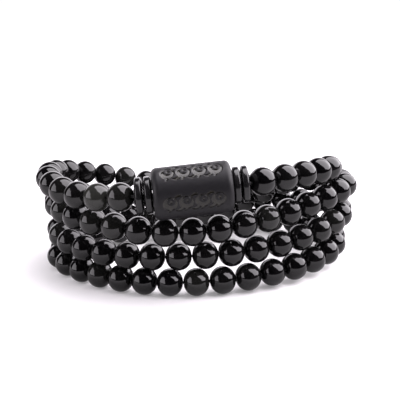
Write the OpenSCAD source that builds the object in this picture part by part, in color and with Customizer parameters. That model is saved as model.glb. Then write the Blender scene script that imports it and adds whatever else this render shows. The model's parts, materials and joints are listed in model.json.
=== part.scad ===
// Mala prayer beads: one elastic string of round stone beads, wound round four times and stood
// on a flat surface. The barrel bead and its four disc spacers sit at the front of the top turn.
// The cord's route is worked out first. Every bead is then threaded on it, one after the other.
// X runs to the right, Y away from the front and Z up. The bottom turn rests on Z = 0.

/* [Round beads] */
// Width of one round bead, across its hole
bead_d = 6.4; // [6.3:0.05:6.4]
// Length of one round bead, along its hole
bead_l = 5.96; // [5.9:0.02:5.96]
// Diameter of the hole through a round bead
bead_bore_d = 1.2; // [1:0.1:1.6]
// Depth of the small bevel at each mouth of the hole
bead_bevel = 0.2; // [0.1:0.05:0.3]
// Round beads on the string
bead_count = 124; // [124]

/* [Barrel bead] */
// Length of the barrel bead
barrel_l = 17; // [16.6:0.1:17]
// Diameter of the barrel bead
barrel_d = 11.4; // [10:0.1:11.4]
// Radius of the barrel's rounded shoulders
barrel_round = 1.2; // [0.6:0.1:1.6]
// Diameter of the hole along the barrel
barrel_bore_d = 2; // [1.8:0.1:2.4]
// Depth of the carved pattern
carve_depth = 0.25; // [0.1:0.05:0.4]
// Carved rows round the barrel
carve_rows = 5; // [3:1:5]
// Curls in one carved row
carve_curls = 4; // [3:1:5]

/* [Disc spacers] */
// Diameter of a disc spacer
disc_d = 8.2; // [7.6:0.1:8.2]
// Thickness of a disc spacer
disc_t = 1.8; // [1.4:0.1:1.8]
// Width of the bevel on each face of a disc
disc_bevel = 1.1; // [0.8:0.1:1.2]
// Diameter of the hole through a disc spacer
disc_bore_d = 1.6; // [1.5:0.1:1.8]

/* [Elastic cord] */
// Diameter of the elastic cord
cord_d = 0.7; // [0.5:0.1:0.8]
// Diameter of the knot hidden in the barrel
knot_d = 1.7; // [1.4:0.1:1.7]

/* [Hidden] */
bead_r = bead_d / 2;
cord_r = cord_d / 2;

// Spare cord at each disc and at the barrel
disc_play = 0.3;
barrel_play = 0.5;
disc_pitch = disc_t + disc_play;
barrel_pitch = barrel_l + barrel_play;

// The coil seen from above: four turns, each an oval of four quarters round this centre.
centre_x = -4.5;
centre_y = 27.5;

// How far each turn reaches from the centre, top turn first
reach_front = [30.65, 28.75, 26, 26.35];
reach_left = [34.2, 33.05, 33, 34.65];
reach_back = [21.6, 25.65, 21.4, 12.9];
reach_right = [44.45, 42.6, 40.35, 39.5];

// How square each quarter is: 2 is an ellipse, more is squarer, less is flatter
shape_front_left = [2, 1.9, 2, 1.7];
shape_back_left = [3, 2.7, 2.7, 2.1];
shape_back_right = [2.5, 2.5, 2.6, 2.1];
shape_front_right = [1.45, 1.8, 2.1, 1.8];

// Height of the cord every eighth of a turn: front, front left, left, back left, back,
// back right, right and front right. The last turn climbs back to the top one.
turn_z = [
  [25.8, 23.35, 23.8, 17.65, 12.45, 13.35, 18.75, 16.7],
  [15.8, 17.15, 16.75, 11.45, 7.6, 7.95, 11.6, 9.7],
  [9.4, 9.25, 9.45, 5.85, 3.1, 2.85, 4.5, 3.65],
  [3, 3, 2.95, 4.1, 7.1, 8.85, 23.1, 26.3]
];

// How far the barrel's centre lies to the right of the coil's centre, along the cord
barrel_shift = 3.05;

// Points on the route in one turn, and how many of them the rounding averages each way
turn_points = 180;
ease = 7;

turns = len(turn_z);
route_n = turns * turn_points;
heights = [for (k = [0:turns - 1]) for (h = turn_z[k]) h];
height_n = len(heights);

function total(v, i = 0, sum = 0) = i < len(v) ? total(v, i + 1, sum + v[i]) : sum;
function unit(v) = v / norm(v);

// Distance from the centre to one quarter's outline, in the direction a
function outline(a, side, ahead, shape) =
  pow(pow(abs(sin(a)) / side, shape) + pow(abs(cos(a)) / ahead, shape), -1 / shape);

// The outline of turn k at the angle a, with 0 at the front and 90 at the left
function turn_reach(k, a) =
  a < 90 ? outline(a, reach_left[k], reach_front[k], shape_front_left[k])
  : a < 180 ? outline(a, reach_left[k], reach_back[k], shape_back_left[k])
  : a < 270 ? outline(a, reach_right[k], reach_back[k], shape_back_right[k])
  : outline(a, reach_right[k], reach_front[(k + 1) % turns], shape_front_right[k]);

// A smooth curve through four heights, used between the middle two
function smooth(a, b, c, d, t) =
  b + t / 2 * (c - a + t * (2 * a - 5 * b + 4 * c - d + t * (3 * (b - c) + d - a)));

// Height of the cord, with e counted in eighths of a turn. The table stops the lowest beads.
function cord_z(e) =
  let (i = floor(e), n = height_n)
  max(bead_r, smooth(heights[(i + n - 1) % n], heights[i % n],
                     heights[(i + 1) % n], heights[(i + 2) % n], e - i));

rough_route = [
  for (i = [0:route_n - 1])
    let (k = floor(i / turn_points), a = 360 * (i / turn_points - k), r = turn_reach(k, a))
    [centre_x - r * sin(a), centre_y - r * cos(a), cord_z(8 * i / turn_points)]
];

// Each point becomes the average of its neighbours, so the quarters join without a kink.
route = [
  for (i = [0:route_n - 1])
    total([for (j = [-ease:ease]) rough_route[(i + j + route_n) % route_n]],
          0, [0, 0, 0]) / (2 * ease + 1)
];

// How fast the route turns at point i, in radians a millimetre
function bend(i) =
  let (m = 6, n = route_n,
       u = route[i] - route[(i + n - m) % n], v = route[(i + m) % n] - route[i])
  acos(min(1, u * v / norm(u) / norm(v))) * PI / 180 / ((norm(u) + norm(v)) / 2);

// On a bend two round beads lean together, so a bend counts for less length. Each bead leans
// by half of the turn between them, and bend_care adds some room.
bend_care = 1.3;
function lean(i) = bend(i) * bead_l * bend_care / 2 * 180 / PI;
bends = [
  for (i = [0:route_n - 1])
    cos(lean(i)) * bead_l / (bead_l + (bead_d - bead_l) * sin(lean(i)))
];
steps = [
  for (i = [0:route_n - 1])
    norm(route[(i + 1) % route_n] - route[i]) * (bends[i] + bends[(i + 1) % route_n]) / 2
];
run = [for (i = 0, s = 0; i <= route_n; s = s + (i < route_n ? steps[i] : 0), i = i + 1) s];
run_length = run[route_n];

// The point on the route after the length s, from tables of length against each coordinate
run_x = [for (i = [0:route_n]) [run[i], route[i % route_n].x]];
run_y = [for (i = [0:route_n]) [run[i], route[i % route_n].y]];
run_z = [for (i = [0:route_n]) [run[i], route[i % route_n].z]];
function wrap(s) = s - run_length * floor(s / run_length);
function route_at(s) = [lookup(wrap(s), run_x), lookup(wrap(s), run_y), lookup(wrap(s), run_z)];

// The beads share the length that the barrel and the discs leave.
bead_pitch = (run_length - barrel_pitch - 4 * disc_pitch) / bead_count;

// Length on the cord of each piece, in the order they are threaded:
// the barrel, two discs, every round bead, two discs
threaded = [
  barrel_pitch, disc_pitch, disc_pitch,
  for (i = [1:bead_count]) bead_pitch,
  disc_pitch, disc_pitch
];
piece_n = len(threaded);
joint_s = [
  for (i = 0, s = -barrel_shift - barrel_pitch / 2; i < piece_n; s = s + threaded[i], i = i + 1) s
];

// The cord bends only where two pieces meet. Between these points it runs straight in a bore.
joints = [for (s = joint_s) route_at(s)];
function joint(i) = joints[(i + piece_n) % piece_n];
function middle(i) = (joint(i) + joint(i + 1)) / 2;
function along(i) = unit(joint(i + 1) - joint(i));

first_bead = 3;

// The whole string is moved so that its box is centred on the origin, seen from above.
bead_middles = [for (i = [first_bead:first_bead + bead_count - 1]) middle(i)];
bead_xs = [for (m = bead_middles) m.x];
bead_ys = [for (m = bead_middles) m.y];
barrel_axis = along(0);
barrel_reach_y = abs(barrel_axis.y) * (barrel_l / 2 - barrel_round)
  + sqrt(1 - pow(barrel_axis.y, 2)) * (barrel_d / 2 - barrel_round) + barrel_round;
box_low_y = min(min(bead_ys) - bead_r, middle(0).y - barrel_reach_y);
box_high_y = max(bead_ys) + bead_r;
home = [-(min(bead_xs) + max(bead_xs)) / 2, -(box_low_y + box_high_y) / 2, 0];

// Turns a part that was made along Z so that it lies along the direction v
module aim(v) {
  rotate([0, acos(v.z), atan2(v.y, v.x)])
    children();
}

// Puts a part at its place on the string
module thread(i) {
  translate(middle(i) + home)
    aim(along(i))
      children();
}

// A round bead, a little wider across its hole than it is long
module bead() {
  mouth = bead_l / 2 - bead_bevel;
  difference() {
    rotate_extrude($fn = 48)
      intersection() {
        translate([bead_r - bead_l / 2, 0])
          circle(r = bead_l / 2, $fn = 96);
        translate([bead_bore_d / 2, -bead_l])
          square([bead_d, 2 * bead_l]);
      }
    for (side = [0, 180])
      rotate([side, 0, 0])
        translate([0, 0, mouth])
          cylinder(h = 2 * bead_bevel, d1 = bead_bore_d, d2 = bead_bore_d + 4 * bead_bevel, $fn = 32);
  }
}

// A run of beads that follow each other on the string, counted from 1
module bead_run(first, count) {
  color([0.05, 0.05, 0.06])
    for (i = [first:first + count - 1])
      thread(first_bead + i - 1)
        bead();
}

module barrel_body() {
  r = barrel_d / 2;
  c = barrel_round;
  cylinder(h = barrel_l - 2 * c, r = r, center = true, $fn = 96);
  cylinder(h = barrel_l, r = r - c, center = true, $fn = 96);
  for (side = [-1, 1])
    translate([0, 0, side * (barrel_l / 2 - c)])
      rotate_extrude($fn = 96)
        translate([r - c, 0])
          circle(r = c, $fn = 48);
}

carve_pitch = (barrel_l - 2 * barrel_round - 1) / carve_curls;
curl_r = min(1.55, carve_pitch / 2 - 0.1);

// The carved rows are turned a little, so that none lies exactly underneath.
carve_turn = 8;

// One carved curl: a crescent and a dot, standing on the side at the distance x along the barrel
module curl(x) {
  eye = curl_r * 0.57;
  translate([barrel_d / 2 - 1, 0, x])
    rotate([0, 90, 0]) {
      difference() {
        cylinder(h = 2, r = curl_r, $fn = 48);
        translate([curl_r * 0.13, curl_r * 0.3, -1])
          cylinder(h = 4, r = eye, $fn = 48);
      }
      translate([curl_r * 0.13, curl_r * 0.3, 0])
        cylinder(h = 2, r = eye * 0.4, $fn = 32);
    }
}

// All curls, down to the depth of the carving
module carving() {
  difference() {
    for (row = [0:carve_rows - 1])
      for (k = [0:carve_curls - 1])
        rotate([0, 0, carve_turn + 360 * row / carve_rows])
          curl((k - (carve_curls - 1) / 2) * carve_pitch);
    cylinder(h = barrel_l, r = barrel_d / 2 - carve_depth, center = true, $fn = 96);
  }
}

module barrel_bead() {
  color([0.13, 0.13, 0.14])
    thread(0)
      difference() {
        barrel_body();
        cylinder(h = barrel_l + 2, d = barrel_bore_d, center = true, $fn = 48);
        carving();
      }
}

// The discs are piled against the barrel's two ends, a small gap apart. Each leans a little from
// the end face: this many degrees about the vertical.
disc_gap = 0.1;
lean_left = [0, -1.5];
lean_right = [-3, -3];
disc_flat_r = disc_d / 2 - disc_bevel;

function disc_side(i) = i < first_bead ? 1 : -1;
function disc_is_inner(i) = i == 1 || i == piece_n - 1;
function disc_leans(i) = disc_side(i) > 0 ? lean_left : lean_right;
function disc_lean(i) = disc_leans(i)[disc_is_inner(i) ? 0 : 1];

function disc_axis(i) =
  let (a = along(0), w = disc_lean(i))
  [a.x * cos(w) - a.y * sin(w), a.x * sin(w) + a.y * cos(w), a.z];

// How far a disc's centre lies from the barrel's centre, measured along the barrel's axis
function disc_seat(i) =
  let (
    leans = disc_leans(i),
    inner = barrel_l / 2 + disc_gap + disc_t / 2 + disc_flat_r * sin(abs(leans[0]))
  )
  inner + (disc_is_inner(i) ? 0 : disc_t + disc_gap + disc_flat_r * sin(abs(leans[1] - leans[0])));

// The point on the cord at that distance
function disc_place(i) =
  let (
    a = along(0),
    from = joint(i),
    step = joint(i + 1) - joint(i),
    t = (disc_side(i) * disc_seat(i) - (from - middle(0)) * a) / (step * a)
  )
  from + t * step;

// A disc spacer at place i on the string: a narrow rim with a wide flat bevel on each face
module disc(i) {
  r = disc_d / 2;
  edge = disc_t / 6;
  color([0.2, 0.2, 0.22])
    translate(disc_place(i) + home)
      aim(disc_axis(i))
        difference() {
          union() {
            cylinder(h = disc_t - 2 * edge, r = r, center = true, $fn = 72);
            for (side = [0, 180])
              rotate([side, 0, 0])
                translate([0, 0, disc_t / 2 - edge])
                  cylinder(h = edge, r1 = r, r2 = disc_flat_r, $fn = 72);
          }
          cylinder(h = disc_t + 2, d = disc_bore_d, center = true, $fn = 32);
        }
}

// The elastic cord: one closed tube, with a mitred ring of eight points wherever it bends
cord_sides = 8;
cord_aim = [for (i = [0:piece_n - 1]) unit(along(i) + along((i + piece_n - 1) % piece_n))];

function ring_point(i, a) =
  let (t = cord_aim[i], u = unit(cross(t, [0, 0, 1])), v = cross(t, u))
  joint(i) + home + cord_r * (cos(a) * u + sin(a) * v);

module elastic_cord() {
  n = cord_sides;
  points = [for (i = [0:piece_n - 1]) for (k = [0:n - 1]) ring_point(i, 360 * (k + 0.5) / n)];
  faces = [
    for (i = [0:piece_n - 1])
      for (k = [0:n - 1])
        let (a = i * n, b = ((i + 1) % piece_n) * n, k2 = (k + 1) % n)
        for (f = [[a + k, a + k2, b + k2], [a + k, b + k2, b + k]]) f
  ];
  color([0.08, 0.08, 0.08])
    polyhedron(points = points, faces = faces);
}

// The knot, hidden in the middle of the barrel's bore
module cord_knot() {
  color([0.08, 0.08, 0.08])
    thread(0)
      difference() {
        sphere(d = knot_d, $fn = 48);
        cylinder(h = knot_d + 1, r = cord_r + 0.02, center = true, $fn = 32);
      }
}

// Round beads, counted along the string from the barrel's left side. The beads of the top

barrel_bead();
disc(1);  // disc_left_inner
disc(2);  // disc_left_outer
disc(piece_n - 2);  // disc_right_outer
disc(piece_n - 1);  // disc_right_inner
elastic_cord();
cord_knot();
bead_run(1, 1);  // bead_001
bead_run(2, 1);  // bead_002
bead_run(3, 1);  // bead_003
bead_run(4, 1);  // bead_004
bead_run(5, 1);  // bead_005
bead_run(6, 1);  // bead_006
bead_run(7, 1);  // bead_007
bead_run(8, 1);  // bead_008
bead_run(9, 1);  // bead_009
bead_run(10, 1);  // bead_010
bead_run(11, 1);  // bead_011
bead_run(12, 1);  // bead_012
bead_run(13, 1);  // bead_013
bead_run(14, 1);  // bead_014
bead_run(15, 1);  // bead_015
bead_run(16, 1);  // bead_016
bead_run(17, 1);  // bead_017
bead_run(18, 1);  // bead_018
bead_run(115, 1);  // bead_115
bead_run(116, 1);  // bead_116
bead_run(117, 1);  // bead_117
bead_run(118, 1);  // bead_118
bead_run(119, 1);  // bead_119
bead_run(120, 1);  // bead_120
bead_run(121, 1);  // bead_121
bead_run(122, 1);  // bead_122
bead_run(123, 1);  // bead_123
bead_run(124, 1);  // bead_124
bead_run(19, 4);  // beads_019_022
bead_run(23, 4);  // beads_023_026
bead_run(27, 4);  // beads_027_030
bead_run(31, 4);  // beads_031_034
bead_run(35, 4);  // beads_035_038
bead_run(39, 4);  // beads_039_042
bead_run(43, 4);  // beads_043_046
bead_run(47, 4);  // beads_047_050
bead_run(51, 4);  // beads_051_054
bead_run(55, 4);  // beads_055_058
bead_run(59, 4);  // beads_059_062
bead_run(63, 4);  // beads_063_066
bead_run(67, 4);  // beads_067_070
bead_run(71, 4);  // beads_071_074
bead_run(75, 4);  // beads_075_078
bead_run(79, 4);  // beads_079_082
bead_run(83, 4);  // beads_083_086
bead_run(87, 4);  // beads_087_090
bead_run(91, 4);  // beads_091_094
bead_run(95, 4);  // beads_095_098
bead_run(99, 4);  // beads_099_102
bead_run(103, 4);  // beads_103_106
bead_run(107, 4);  // beads_107_110
bead_run(111, 4);  // beads_111_114
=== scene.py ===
import json
import math
import random

import bpy
import numpy as np
from mathutils import Matrix, Vector


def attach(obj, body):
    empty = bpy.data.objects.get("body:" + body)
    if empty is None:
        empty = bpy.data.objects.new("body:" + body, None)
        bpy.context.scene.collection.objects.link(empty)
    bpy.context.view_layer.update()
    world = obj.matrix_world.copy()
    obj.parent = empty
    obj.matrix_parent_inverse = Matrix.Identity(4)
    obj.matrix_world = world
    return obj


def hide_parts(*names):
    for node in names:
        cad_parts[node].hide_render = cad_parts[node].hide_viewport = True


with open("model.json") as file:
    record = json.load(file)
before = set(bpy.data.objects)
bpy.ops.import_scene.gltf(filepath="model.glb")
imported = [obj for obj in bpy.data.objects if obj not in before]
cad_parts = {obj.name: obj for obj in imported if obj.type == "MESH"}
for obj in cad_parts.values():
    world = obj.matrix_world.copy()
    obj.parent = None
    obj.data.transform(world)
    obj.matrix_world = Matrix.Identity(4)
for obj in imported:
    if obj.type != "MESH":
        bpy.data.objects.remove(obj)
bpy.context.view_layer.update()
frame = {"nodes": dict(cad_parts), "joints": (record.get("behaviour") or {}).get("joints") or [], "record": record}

MM = 0.001
scene = bpy.context.scene
record = frame["record"]
nodes = frame["nodes"]
joint_of = {j["child"]: j for j in frame["joints"]}
body_of_node = {n: b for b, ns in record["behaviour"]["bodies"].items() for n in ns}

# Colours of the light and of the white table and backdrop
LIGHT_TINT = (1.0, 0.955, 1.01)
WHITE_TINT = (1.0, 0.985, 0.998)
PAPER_TINT = (1.0, 0.985, 0.993)

# Sizes that the design gives, in millimetres
BEAD_R, BEAD_HALF_L, BEAD_BORE_R, BEAD_MOUTH = 3.2, 2.98, 0.6, 0.28
BARREL_L, BARREL_R, BARREL_ROUND, BARREL_BORE_R = 17.0, 5.7, 1.2, 1.0
CARVE_ROWS, CARVE_CURLS, CARVE_TURN, CARVE_DEPTH = 5, 4, 8.0, 0.25
DISC_R, DISC_T, DISC_BEVEL, DISC_BORE_R = 4.1, 1.8, 1.1, 0.8
CORD_R = 0.35

# Facets round a bead, a disc, the barrel and the cord
BEAD_SEGMENTS, DISC_SEGMENTS, BARREL_SEGMENTS, CORD_SIDES = 48, 144, 360, 10

# A length in millimetres that is farther than any carved stroke
FAR = 9.0


# ---------------------------------------------------------------- shapes

def joint_place(body):
    """Centre and bore axis of a body that spins on the cord, in millimetres."""
    joint = joint_of[body]
    return np.array(joint["pos_m"]) / MM, np.array(joint["axis"])


def aim(axis):
    """Turns local Z onto the axis, the way the design does."""
    v = Vector(axis).normalized()
    turn = Matrix.Rotation(math.atan2(v.y, v.x), 3, "Z")
    return np.array(turn @ Matrix.Rotation(math.acos(max(-1, min(1, v.z))), 3, "Y"))


def arc(cx, cy, r, a0, a1, n):
    """Points on a circle from angle a0 to a1, in degrees."""
    return [
        (cx + r * math.cos(math.radians(a0 + (a1 - a0) * i / n)),
         cy + r * math.sin(math.radians(a0 + (a1 - a0) * i / n)))
        for i in range(n + 1)
    ]


def rounded(points, radii, n):
    """The closed outline with each corner rounded by its radius, in n steps."""
    out = []
    count = len(points)
    for i, (p, r) in enumerate(zip(points, radii)):
        p = Vector(p)
        a = Vector(points[i - 1]) - p
        b = Vector(points[(i + 1) % count]) - p
        half = a.angle(b) / 2
        reach = min(r / math.tan(half), a.length * 0.49, b.length * 0.49)
        start, end = p + a.normalized() * reach, p + b.normalized() * reach
        for k in range(n + 1):
            t = k / n
            out.append(tuple(start * (1 - t) ** 2 + p * 2 * t * (1 - t) + end * t ** 2))
    return out


def lathe(outline, segments):
    """A ring-shaped solid: the closed outline of (radius, height) points, turned round Z."""
    outline = np.array(outline, float)
    n = len(outline)
    angles = np.linspace(0, 2 * np.pi, segments, endpoint=False)
    verts = np.stack([
        np.outer(np.cos(angles), outline[:, 0]),
        np.outer(np.sin(angles), outline[:, 0]),
        np.tile(outline[:, 1], (segments, 1)),
    ], axis=-1).reshape(-1, 3)
    i, k = np.meshgrid(np.arange(segments), np.arange(n), indexing="ij")
    i2, k2 = (i + 1) % segments, (k + 1) % n
    faces = np.stack([i * n + k, i2 * n + k, i2 * n + k2, i * n + k2], axis=-1)
    return verts, faces.reshape(-1, 4)


def mesh_object(name, verts, faces, fields, material):
    """A smooth mesh in metres from points in millimetres, with float and vector fields on its points."""
    mesh = bpy.data.meshes.new(name)
    mesh.from_pydata((np.asarray(verts) * MM).tolist(), [], np.asarray(faces).tolist())
    mesh.validate()
    mesh.shade_smooth()
    for key, value in fields.items():
        value = np.asarray(value, np.float32)
        kind = "FLOAT_VECTOR" if value.ndim == 2 else "FLOAT"
        data = mesh.attributes.new(key, kind, "POINT").data
        data.foreach_set("vector" if value.ndim == 2 else "value", value.ravel())
    mesh.materials.append(material)
    obj = bpy.data.objects.new(name, mesh)
    scene.collection.objects.link(obj)
    return obj


def island_centres(node):
    """Centre and bore axis of each bead in a CAD node, in millimetres."""
    mesh = nodes[node].data
    verts = np.array([v.co for v in mesh.vertices]) / MM
    keys = {}
    group = np.empty(len(verts), int)
    for i, v in enumerate(np.round(verts, 4)):
        group[i] = keys.setdefault(tuple(v), len(keys))
    parent = list(range(len(keys)))

    def root(a):
        while parent[a] != a:
            parent[a] = parent[parent[a]]
            a = parent[a]
        return a

    for e in mesh.edges:
        a, b = root(group[e.vertices[0]]), root(group[e.vertices[1]])
        parent[a] = b
    roots = np.array([root(g) for g in group])
    found = []
    for r in sorted(set(roots)):
        part = np.unique(np.round(verts[roots == r], 4), axis=0)
        centre = (part.min(0) + part.max(0)) / 2
        # The rims of the bore are the only points this near to the centre.
        bore = part[np.linalg.norm(part - centre, axis=1) < BEAD_HALF_L - 0.06]
        axis = np.linalg.svd(bore - bore.mean(0))[2][0]
        ahead = (bore - centre) @ axis > 0
        found.append(((bore[ahead].mean(0) + bore[~ahead].mean(0)) / 2, axis))
    return found


# ---------------------------------------------------------------- materials

class Nodes:
    """Short calls for building a material's nodes."""

    def __init__(self, name):
        self.material = bpy.data.materials.new(name)
        self.material.use_nodes = True
        self.tree = self.material.node_tree
        self.shader = self.tree.nodes["Principled BSDF"]

    def add(self, kind, **settings):
        node = self.tree.nodes.new(kind)
        for key, value in settings.items():
            setattr(node, key, value)
        return node

    def link(self, out, into):
        self.tree.links.new(out, into)

    def field(self, name):
        return self.add("ShaderNodeAttribute", attribute_name=name)

    def noise(self, vector, scale, detail=4.0, rough=0.55, distortion=0.0):
        node = self.add("ShaderNodeTexNoise")
        node.inputs["Scale"].default_value = scale
        node.inputs["Detail"].default_value = detail
        node.inputs["Roughness"].default_value = rough
        node.inputs["Distortion"].default_value = distortion
        self.link(vector, node.inputs["Vector"])
        return node.outputs["Fac"]

    def stretch(self, vector, scale):
        node = self.add("ShaderNodeMapping")
        node.inputs["Scale"].default_value = scale
        self.link(vector, node.inputs["Vector"])
        return node.outputs["Vector"]

    def ramp(self, value, stops):
        node = self.add("ShaderNodeValToRGB")
        elements = node.color_ramp.elements
        while len(elements) < len(stops):
            elements.new(0.5)
        for element, (place, colour) in zip(elements, stops):
            element.position = place
            if not hasattr(colour, "__len__"):
                colour = (colour,) * 3
            element.color = (*colour, 1.0)
        self.link(value, node.inputs["Fac"])
        return node.outputs["Color"]

    def mix(self, factor, a, b, blend="MIX"):
        node = self.add("ShaderNodeMix", data_type="RGBA", blend_type=blend)
        for source, socket in ((factor, 0), (a, 6), (b, 7)):
            if hasattr(source, "is_output"):
                self.link(source, node.inputs[socket])
            elif socket == 0:
                node.inputs[0].default_value = source
            else:
                node.inputs[socket].default_value = (*source, 1.0)
        return node.outputs[2]

    def bump(self, height, distance, strength):
        node = self.add("ShaderNodeBump")
        node.inputs["Distance"].default_value = distance
        node.inputs["Strength"].default_value = strength
        self.link(height, node.inputs["Height"])
        return node.outputs["Normal"]

    def set(self, **values):
        for key, value in values.items():
            socket = self.shader.inputs[key.replace("_", " ")]
            if hasattr(value, "is_output"):
                self.link(value, socket)
            else:
                socket.default_value = value


def polished_stone():
    """Black stone with a mirror polish, a faint cloudy grain and a tone that differs by bead."""
    n = Nodes("polished_stone")
    grain = n.field("grain").outputs["Vector"]
    tone = n.field("tone").outputs["Fac"]
    cloud = n.noise(grain, 0.45, 5.0, 0.6, 0.6)
    fleck = n.noise(grain, 3.2, 6.0, 0.65)
    dark = n.ramp(cloud, [(0.3, (0.0012, 0.0011, 0.0014)), (0.75, (0.0040, 0.0036, 0.0040))])
    light = n.ramp(cloud, [(0.3, (0.0150, 0.0155, 0.0138)), (0.75, (0.0250, 0.0252, 0.0220))])
    colour = n.mix(tone, dark, light)
    flecks = n.ramp(fleck, [(0.66, 0.0), (0.78, 0.006)])
    colour = n.mix(1.0, colour, flecks, "ADD")
    rough = n.ramp(n.noise(grain, 0.9, 5.0, 0.6), [(0.35, 0.045), (0.7, 0.095)])
    n.set(Base_Color=colour, Roughness=rough, IOR=1.5)
    n.set(Normal=n.bump(n.noise(grain, 0.8, 2.0, 0.5), 0.00002, 0.35))
    return n.material


def matt_stone():
    """Bead-blasted dark stone, with a browner and smoother floor in its carved lines."""
    n = Nodes("matt_stone")
    grain = n.field("grain").outputs["Vector"]
    carved = n.field("carved").outputs["Fac"]
    cloud = n.noise(grain, 0.22, 5.0, 0.6, 0.4)
    speck = n.noise(grain, 7.0, 4.0, 0.7)
    ground = n.ramp(cloud, [(0.3, (0.0034, 0.0029, 0.0042)), (0.7, (0.0064, 0.0057, 0.0076))])
    ground = n.mix(n.ramp(speck, [(0.35, 0.0), (0.75, 0.50)]), ground, (0.013, 0.012, 0.015))
    worn = n.noise(grain, 0.9, 3.0, 0.5)
    line = n.ramp(worn, [
        (0.36, (0.004, 0.003, 0.002)),
        (0.50, (0.010, 0.009, 0.006)),
        (0.75, (0.020, 0.018, 0.012)),
    ])
    n.set(Base_Color=n.mix(carved, ground, line), IOR=1.5, Specular_IOR_Level=0.33)
    n.set(Coat_Weight=n.ramp(carved, [(0.6, 0.0), (0.95, 0.32)]), Coat_Roughness=0.09, Coat_IOR=1.5)
    rough_ground = n.ramp(n.noise(grain, 1.1, 4.0), [(0.3, 0.44), (0.7, 0.53)])
    n.set(Roughness=n.mix(carved, rough_ground, (0.13, 0.13, 0.13)))
    n.set(Normal=n.bump(n.noise(grain, 5.5, 5.0, 0.75), 0.00006, 0.35))
    return n.material


def disc_stone():
    """Glossy dark disc, with the fine turning marks of its rim and faces."""
    n = Nodes("glossy_disc")
    grain = n.field("grain").outputs["Vector"]
    turned = n.field("turned").outputs["Vector"]
    cloud = n.noise(grain, 0.6, 5.0, 0.6, 0.5)
    lines = n.noise(n.stretch(turned, (1.0, 1.0, 0.05)), 16.0, 5.0, 0.7)
    colour = n.ramp(cloud, [(0.3, (0.0045, 0.0045, 0.0050)), (0.75, (0.0130, 0.0125, 0.0135))])
    colour = n.mix(1.0, colour, n.ramp(lines, [(0.55, 0.0), (0.8, 0.012)]), "ADD")
    n.set(Base_Color=colour, IOR=1.5, Roughness=n.ramp(lines, [(0.3, 0.06), (0.75, 0.20)]))
    n.set(Normal=n.bump(lines, 0.00002, 0.4))
    return n.material


def elastic():
    """Black elastic cord with its fine lengthwise strands."""
    n = Nodes("elastic")
    grain = n.field("grain").outputs["Vector"]
    strand = n.noise(n.stretch(grain, (1.0, 1.0, 0.12)), 9.0, 3.0, 0.6)
    n.set(
        Base_Color=n.ramp(strand, [(0.3, (0.010, 0.010, 0.011)), (0.7, (0.035, 0.034, 0.036))]),
        Roughness=n.ramp(strand, [(0.3, 0.35), (0.7, 0.55)]),
        Normal=n.bump(strand, 0.00005, 0.6),
    )
    return n.material


FADE_START, FADE_END = 0.07, 0.20     # metres from the object's middle


def floor_paint(name, paleness, near_glow, far_glow):
    """Plain pale paper that glows by near_glow at the object and by far_glow away from it."""
    n = Nodes(name)
    where = n.add("ShaderNodeTexCoord").outputs["Object"]
    fine = n.noise(where, 60.0, 4.0)
    tint = [paleness * c for c in PAPER_TINT]
    n.set(Base_Color=n.ramp(fine, [(0.3, [c * 0.985 for c in tint]), (0.7, [c * 1.015 for c in tint])]))
    n.set(Roughness=0.9, Specular_IOR_Level=0.1, Emission_Color=(*WHITE_TINT, 1.0))
    length = n.add("ShaderNodeVectorMath", operation="LENGTH")
    n.link(where, length.inputs[0])
    fade = n.add("ShaderNodeMapRange", interpolation_type="SMOOTHSTEP")
    fade.inputs["From Min"].default_value = FADE_START
    fade.inputs["From Max"].default_value = FADE_END
    fade.inputs["To Min"].default_value = near_glow
    fade.inputs["To Max"].default_value = far_glow
    n.link(length.outputs["Value"], fade.inputs["Value"])
    n.set(Emission_Strength=fade.outputs["Result"])
    return n.material


# ---------------------------------------------------------------- the beads

STONE, MATT, DISC, ELASTIC = polished_stone(), matt_stone(), disc_stone(), elastic()
seed = random.Random(11)


def bead_outline():
    """Half the section of a bead: a bulging side, and a bore with a softly broken edge at each mouth."""
    swell = BEAD_R - BEAD_HALF_L
    start = math.degrees(math.asin((BEAD_BORE_R + BEAD_MOUTH - swell) / BEAD_HALF_L))
    outline = arc(swell, 0, BEAD_HALF_L, start - 90, 90 - start, 36)
    edge_z = BEAD_HALF_L * math.cos(math.radians(start))
    top = [(BEAD_BORE_R + 0.13, edge_z + 0.015), (BEAD_BORE_R + 0.03, edge_z - 0.04)]
    top.append((BEAD_BORE_R, edge_z - 0.16))
    outline += top + [(BEAD_BORE_R, 1.2), (BEAD_BORE_R, 0.0), (BEAD_BORE_R, -1.2)]
    return outline + [(r, -z) for r, z in reversed(top)]


BEAD_VERTS, BEAD_FACES = lathe(bead_outline(), BEAD_SEGMENTS)

# How pale the stone of some beads is, by bead number. The others are drawn at random.
PALE_BEADS = {2: 1.0, 3: 0.1, 4: 0.2}
PALE_DRAWS = {2: 0.3, 7: 0.4}


def tone_of(number):
    """How pale a bead's stone is, from 0 to 1."""
    drawn = PALE_DRAWS.get(seed.randrange(14), seed.uniform(0.0, 0.12))
    return PALE_BEADS.get(number, drawn)


def bead_piece(node, places, numbers):
    """One piece for the beads of a CAD node."""
    verts, faces, grain, tone = [], [], [], []
    for k, (centre, axis) in enumerate(places):
        verts.append(BEAD_VERTS @ aim(axis).T + centre)
        faces.append(BEAD_FACES + k * len(BEAD_VERTS))
        shift = np.array([seed.uniform(-90, 90) for _ in range(3)])
        grain.append(BEAD_VERTS + shift)
        tone.append(np.full(len(BEAD_VERTS), tone_of(numbers[k])))
    piece = mesh_object(
        "polished_" + node, np.vstack(verts), np.vstack(faces),
        {"grain": np.vstack(grain), "tone": np.concatenate(tone)}, STONE,
    )
    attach(piece, body_of_node[node])
    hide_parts(node)


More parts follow.
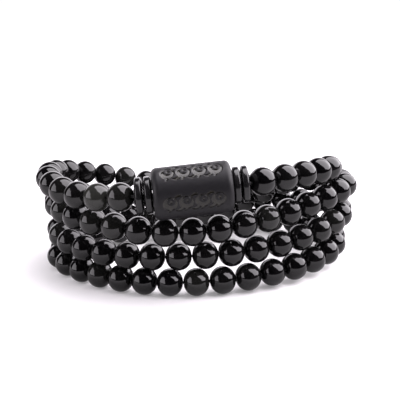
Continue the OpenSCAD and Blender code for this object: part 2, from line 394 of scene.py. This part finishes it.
def as_chain(places, here):
    """The places in the order they are threaded: each is the nearest one left to the one before."""
    chain = []
    while places:
        places.sort(key=lambda place: np.linalg.norm(place[0] - here))
        chain.append(places.pop(0))
        here = chain[-1][0]
    return chain


string = []          # (centre, axis) of each bead, in the order they are threaded
bead_nodes = [name for name in nodes if name.startswith("bead")]
for node in sorted(bead_nodes, key=lambda name: int(name.split("_")[1])):
    numbers = [int(part) for part in node.split("_")[1:]]
    if len(numbers) == 1:
        places = [joint_place(body_of_node[node])]
    else:
        numbers = list(range(numbers[0], numbers[1] + 1))
        places = as_chain(island_centres(node), string[-1][0])
    first = len(string)
    for centre, axis in places:
        before = string[-1][0] if string else joint_place("barrel")[0]
        string.append((centre, -axis if np.dot(axis, centre - before) < 0 else axis))
    bead_piece(node, string[first:], numbers)


# ---------------------------------------------------------------- the barrel bead

# A carved curl is a crescent, which is a disc less its eye, and a dot in the eye.
CURL_R = 1.55
EYE_R = CURL_R * 0.57
DOT_R = EYE_R * 0.4
EYE_ACROSS, EYE_ALONG = CURL_R * 0.3, -CURL_R * 0.13
CARVED_EDGE = 0.11           # width of the slope at the edge of a stroke
CURL_REACH = (3.0, 2.5)      # half length and half width of the patch that holds one curl


def stroke_distance(x, y, stroke):
    """Distance from points to the edge of a stroke of (x, y, half width) rows, below zero inside it."""
    best = np.full(x.shape, FAR)
    for (ax, ay, aw), (bx, by, bw) in zip(stroke[:-1], stroke[1:]):
        dx, dy = bx - ax, by - ay
        t = np.clip(((x - ax) * dx + (y - ay) * dy) / (dx * dx + dy * dy), 0, 1)
        best = np.minimum(best, np.hypot(x - ax - t * dx, y - ay - t * dy) - aw - t * (bw - aw))
    return best


def swash(x0, y0, x1, y1, sag, width):
    """A curved stroke that swells in its first half and tapers to a point."""
    t = np.linspace(0, 1, 16)
    bow = sag * np.sin(np.pi * t)
    return np.stack([x0 + (x1 - x0) * t, y0 + (y1 - y0) * t + bow,
                     0.03 + width * np.sin(np.pi * t ** 0.6)], axis=-1)


def carved_depth(along, across, pitch):
    """0 on the plain surface and 1 in the carved crescents and swashes, for points on one row."""
    distance = np.full(along.shape, FAR)
    middle = (CARVE_CURLS - 1) / 2
    leaf = swash(pitch / 2 - 0.95, -1.15, pitch / 2 + 0.80, -1.62, -0.30, 0.30)
    tail = swash(pitch / 2 - 0.80, 1.62, pitch / 2 + 0.95, 1.05, 0.34, 0.26)
    drop = swash(-0.15, -1.30, 0.55, -1.95, -0.10, 0.22)
    for k in range(CARVE_CURLS):
        x = along - (k - middle) * pitch
        near = (np.abs(x) < CURL_REACH[0]) & (np.abs(across) < CURL_REACH[1])
        px, py = x[near], across[near]
        eye = np.hypot(px - EYE_ALONG, py - EYE_ACROSS)
        best = np.maximum(np.hypot(px, py) - CURL_R, EYE_R - eye)
        best = np.minimum(best, eye - DOT_R)
        best = np.minimum(best, stroke_distance(px, py, drop))
        if k < CARVE_CURLS - 1:
            best = np.minimum(best, stroke_distance(px, py, leaf))
            best = np.minimum(best, stroke_distance(px, py, tail))
        distance[near] = np.minimum(distance[near], best)
    depth = np.clip(0.5 - distance / CARVED_EDGE, 0, 1)
    return depth * depth * (3 - 2 * depth)


def barrel_piece():
    """The barrel with rounded shoulders, a bore, and its carved rows sunk into the side."""
    flat = BARREL_L / 2 - BARREL_ROUND
    shoulder = arc(BARREL_R - BARREL_ROUND, flat, BARREL_ROUND, 0, 90, 12)
    end = [(BARREL_R - BARREL_ROUND - 1.2, BARREL_L / 2), (BARREL_BORE_R + 0.25, BARREL_L / 2),
           (BARREL_BORE_R + 0.07, BARREL_L / 2 - 0.07), (BARREL_BORE_R, BARREL_L / 2 - 0.25)]
    side = [(BARREL_R, z) for z in np.arange(-flat, flat + 0.01, 2 * flat / 146)]
    upper = shoulder[1:] + end
    outline = side + upper + [(BARREL_BORE_R, 0.0)] + [(r, -z) for r, z in reversed(upper)]
    verts, faces = lathe(outline, BARREL_SEGMENTS)
    pitch = (BARREL_L - 2 * BARREL_ROUND - 1) / CARVE_CURLS
    angle = np.degrees(np.arctan2(verts[:, 1], verts[:, 0]))
    row = 360 / CARVE_ROWS
    off = (angle - CARVE_TURN + row / 2) % row - row / 2
    radius = np.hypot(verts[:, 0], verts[:, 1])
    across = np.radians(off) * BARREL_R
    on_side = radius > BARREL_R - 0.01
    carved = np.where(on_side, carved_depth(verts[:, 2], across, pitch), 0.0)
    shrink = 1 - carved * CARVE_DEPTH / np.maximum(radius, 1)
    local = verts * np.stack([shrink, shrink, np.ones_like(shrink)], axis=-1)
    centre, axis = joint_place("barrel")
    world = local @ aim(axis).T + centre
    piece = mesh_object("carved_barrel", world, faces, {"grain": verts, "carved": carved}, MATT)
    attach(piece, "barrel")
    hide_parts("barrel_bead")


barrel_piece()


# ---------------------------------------------------------------- the discs

def disc_piece(node):
    """A disc spacer: a narrow rim, a wide bevel on each face and a bore, with soft corners."""
    band, flat_r = DISC_T / 3, DISC_R - DISC_BEVEL
    outline = rounded(
        [(DISC_BORE_R, -DISC_T / 2), (flat_r, -DISC_T / 2), (DISC_R, -band), (DISC_R, band),
         (flat_r, DISC_T / 2), (DISC_BORE_R, DISC_T / 2)],
        [0.12, 0.9, 0.42, 0.42, 0.9, 0.12], 10)
    verts, faces = lathe(outline, DISC_SEGMENTS)
    radius = np.hypot(verts[:, 0], verts[:, 1])
    angle = np.arctan2(verts[:, 1], verts[:, 0])
    turned = np.stack([radius, verts[:, 2], np.abs(angle) * 3], axis=-1)
    shift = np.array([seed.uniform(-50, 50) for _ in range(3)])
    centre, axis = joint_place(body_of_node[node])
    world = verts @ aim(axis).T + centre
    piece = mesh_object(
        "turned_" + node, world, faces, {"grain": verts + shift, "turned": turned + shift}, DISC)
    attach(piece, body_of_node[node])
    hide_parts(node)


for node in sorted(n for n in nodes if n.startswith("disc")):
    disc_piece(node)


# ---------------------------------------------------------------- the elastic cord

def cord_piece():
    """One closed tube on a smooth curve through the bores, from the barrel round to the barrel."""
    centre, axis = joint_place("barrel")
    stations = [centre + axis * BARREL_L * f for f in (0.15, 0.3, 0.45)]
    for name in ("left_inner_disc", "left_outer_disc"):
        stations.append(joint_place(name)[0])
    for middle, along in string:
        stations += [middle + along * BEAD_HALF_L * f for f in (-0.6, 0.0, 0.6)]
    for name in ("right_outer_disc", "right_inner_disc"):
        stations.append(joint_place(name)[0])
    stations += [centre - axis * BARREL_L * f for f in (0.45, 0.3, 0.15, 0.0)]
    p = np.array(stations)
    before, after, after2 = np.roll(p, 1, 0), np.roll(p, -1, 0), np.roll(p, -2, 0)
    path = []
    for t in (0.0, 1 / 3, 2 / 3):
        path.append(0.5 * (2 * p + (after - before) * t
                           + (2 * before - 5 * p + 4 * after - after2) * t * t
                           + (3 * p - before - 3 * after + after2) * t ** 3))
    path = np.stack(path, axis=1).reshape(-1, 3)
    tangent = np.roll(path, -1, 0) - np.roll(path, 1, 0)
    tangent /= np.linalg.norm(tangent, axis=1)[:, None]
    side = np.cross(tangent, (0, 0, 1.0))
    side /= np.linalg.norm(side, axis=1)[:, None]
    up = np.cross(side, tangent)
    run = np.concatenate([[0], np.cumsum(np.linalg.norm(np.diff(path, axis=0), axis=1))])
    sides, n = CORD_SIDES, len(path)
    angles = np.arange(sides) * 2 * np.pi / sides
    ring = side[:, None] * np.cos(angles)[None, :, None] + up[:, None] * np.sin(angles)[None, :, None]
    verts = (path[:, None] + CORD_R * ring).reshape(-1, 3)
    i, k = np.meshgrid(np.arange(n), np.arange(sides), indexing="ij")
    i2, k2 = (i + 1) % n, (k + 1) % sides
    faces = np.stack([i * sides + k, i2 * sides + k, i2 * sides + k2, i * sides + k2], axis=-1)
    grain = np.stack([
        np.tile(np.cos(angles), (n, 1)), np.tile(np.sin(angles), (n, 1)),
        np.repeat(run[:, None], sides, axis=1)], axis=-1).reshape(-1, 3)
    piece = mesh_object("elastic_string", verts, faces.reshape(-1, 4), {"grain": grain}, ELASTIC)
    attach(piece, "root")
    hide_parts("elastic_cord")


cord_piece()
knot = nodes["cord_knot"]
knot.data.materials.clear()
knot.data.materials.append(ELASTIC)


# ---------------------------------------------------------------- floor, lights and camera

def stage_plane(name, x0, x1, y0, y1, z, material):
    mesh = bpy.data.meshes.new(name)
    corners = [(x0, y0, z), (x1, y0, z), (x1, y1, z), (x0, y1, z)]
    mesh.from_pydata([tuple(c * MM for c in corner) for corner in corners], [], [(0, 1, 2, 3)])
    mesh.materials.append(material)
    obj = bpy.data.objects.new(name, mesh)
    scene.collection.objects.link(obj)
    return obj


# The lit table ends in front of the object, and the stones mirror a dark room beyond its edge.
# What the stones mirror and what the camera sees are two sheets, so that the seen one can be paler.
TABLE_SIDE, TABLE_FRONT, TABLE_BACK, TABLE_DROP = 700, -225, 900, -0.02
BACKDROP = 6000
mirrored = stage_plane(
    "table_mirrored", -TABLE_SIDE, TABLE_SIDE, TABLE_FRONT, TABLE_BACK, TABLE_DROP,
    floor_paint("table", 0.44, 0.06, 0.06))
mirrored.visible_camera = False
seen = stage_plane(
    "table_seen", -BACKDROP, BACKDROP, -BACKDROP, BACKDROP, 0,
    floor_paint("table_pale", 0.80, 0.14, 1.1))
seen.visible_glossy = seen.visible_diffuse = seen.visible_transmission = seen.visible_shadow = False


def light_panel(name, corners, distance, strength):
    """A soft light whose corners lie in these directions from the object, at this distance."""
    material = bpy.data.materials.new(name)
    material.use_nodes = True
    tree = material.node_tree
    tree.nodes.clear()
    emission = tree.nodes.new("ShaderNodeEmission")
    emission.inputs["Color"].default_value = (*LIGHT_TINT, 1.0)
    emission.inputs["Strength"].default_value = strength
    output = tree.nodes.new("ShaderNodeOutputMaterial")
    tree.links.new(emission.outputs[0], output.inputs["Surface"])
    points = [Vector(c).normalized() * distance * MM for c in corners]
    mesh = bpy.data.meshes.new(name)
    mesh.from_pydata([tuple(p) for p in points], [], [tuple(range(len(points)))])
    mesh.materials.append(material)
    obj = bpy.data.objects.new(name, mesh)
    scene.collection.objects.link(obj)
    obj.visible_camera = False


light_panel(
    "soft_box",
    [(-0.24, 0.20, 0.95), (0.18, -0.42, 0.89), (0.78, -0.54, 0.34), (0.98, -0.05, 0.15),
     (0.72, 0.69, 0.08), (0.58, 0.66, 0.45), (0.00, 0.45, 0.89)],
    700, 5.5)
light_panel(
    "strip_light",
    [(-0.72, 0.10, 0.69), (-0.998, 0.05, 0.03), (-0.62, -0.77, 0.10), (-0.63, -0.45, 0.60)],
    650, 3.0)


def room():
    """Stones mirror white low behind the object and dark elsewhere. The camera sees plain white."""
    world = bpy.data.worlds.new("room")
    scene.world = world
    world.use_nodes = True
    tree = world.node_tree
    tree.nodes.clear()
    new, link = tree.nodes.new, tree.links.new
    direction = new("ShaderNodeSeparateXYZ")
    link(new("ShaderNodeTexCoord").outputs["Generated"], direction.inputs[0])

    def smooth(value, low, high):
        node = new("ShaderNodeMapRange")
        node.interpolation_type = "SMOOTHSTEP"
        node.inputs["From Min"].default_value = low
        node.inputs["From Max"].default_value = high
        link(value, node.inputs["Value"])
        return node.outputs["Result"]

    def times(a, b):
        node = new("ShaderNodeMath")
        node.operation = "MULTIPLY"
        link(a, node.inputs[0])
        link(b, node.inputs[1])
        return node.outputs[0]

    def glow(colour, strength):
        node = new("ShaderNodeBackground")
        node.inputs["Color"].default_value = (*colour, 1.0)
        node.inputs["Strength"].default_value = strength
        return node.outputs[0]

    def choose(factor, a, b):
        node = new("ShaderNodeMixShader")
        link(factor, node.inputs[0])
        link(a, node.inputs[1])
        link(b, node.inputs[2])
        return node.outputs[0]

    back = smooth(direction.outputs["Y"], 0.58, 0.78)
    low = smooth(direction.outputs["Z"], 0.55, 0.40)
    mirrored_room = choose(times(back, low), glow((0.4, 0.38, 0.45), 0.004), glow(LIGHT_TINT, 2.2))
    from_behind = smooth(direction.outputs["Y"], -0.5, 0.5)
    dome = choose(from_behind, glow(LIGHT_TINT, 0.65), glow(LIGHT_TINT, 1.10))
    rays = new("ShaderNodeLightPath")
    lit = choose(rays.outputs["Is Diffuse Ray"], mirrored_room, dome)
    final = choose(rays.outputs["Is Camera Ray"], lit, glow(WHITE_TINT, 1.05))
    link(final, new("ShaderNodeOutputWorld").inputs["Surface"])
    world.cycles.sampling_method = "NONE"


room()
scene.view_settings.view_transform = "Standard"
scene.view_settings.look = "None"


# The camera stands where the photo was taken from. Its values were fitted to the photo by a
# program. The lens and place are in millimetres, and the angles in degrees.
LENS, SENSOR = 61.25, 36.0
TILT, ROLL, YAW = 16.015, -1.816, 0.128
CAMERA_PLACE = (0.342, -167.128, 64.114)


def make_camera():
    data = bpy.data.cameras.new("camera")
    data.sensor_width = SENSOR
    data.lens = LENS
    data.clip_start, data.clip_end = 0.01, 20.0
    camera = bpy.data.objects.new("camera", data)
    scene.collection.objects.link(camera)
    tilt, roll, yaw = math.radians(TILT), math.radians(ROLL), math.radians(YAW)
    forward = Vector((0, math.cos(tilt), -math.sin(tilt)))
    right, up = Vector((1, 0, 0)), Vector((0, math.sin(tilt), math.cos(tilt)))
    level = Matrix((right * math.cos(roll) + up * math.sin(roll),
                    up * math.cos(roll) - right * math.sin(roll), -forward)).transposed()
    turn = Matrix.Rotation(yaw, 3, "Z")
    place = turn @ Vector(CAMERA_PLACE) * MM
    camera.matrix_world = Matrix.Translation(place) @ (turn @ level).to_4x4()
    scene.camera = camera


make_camera()
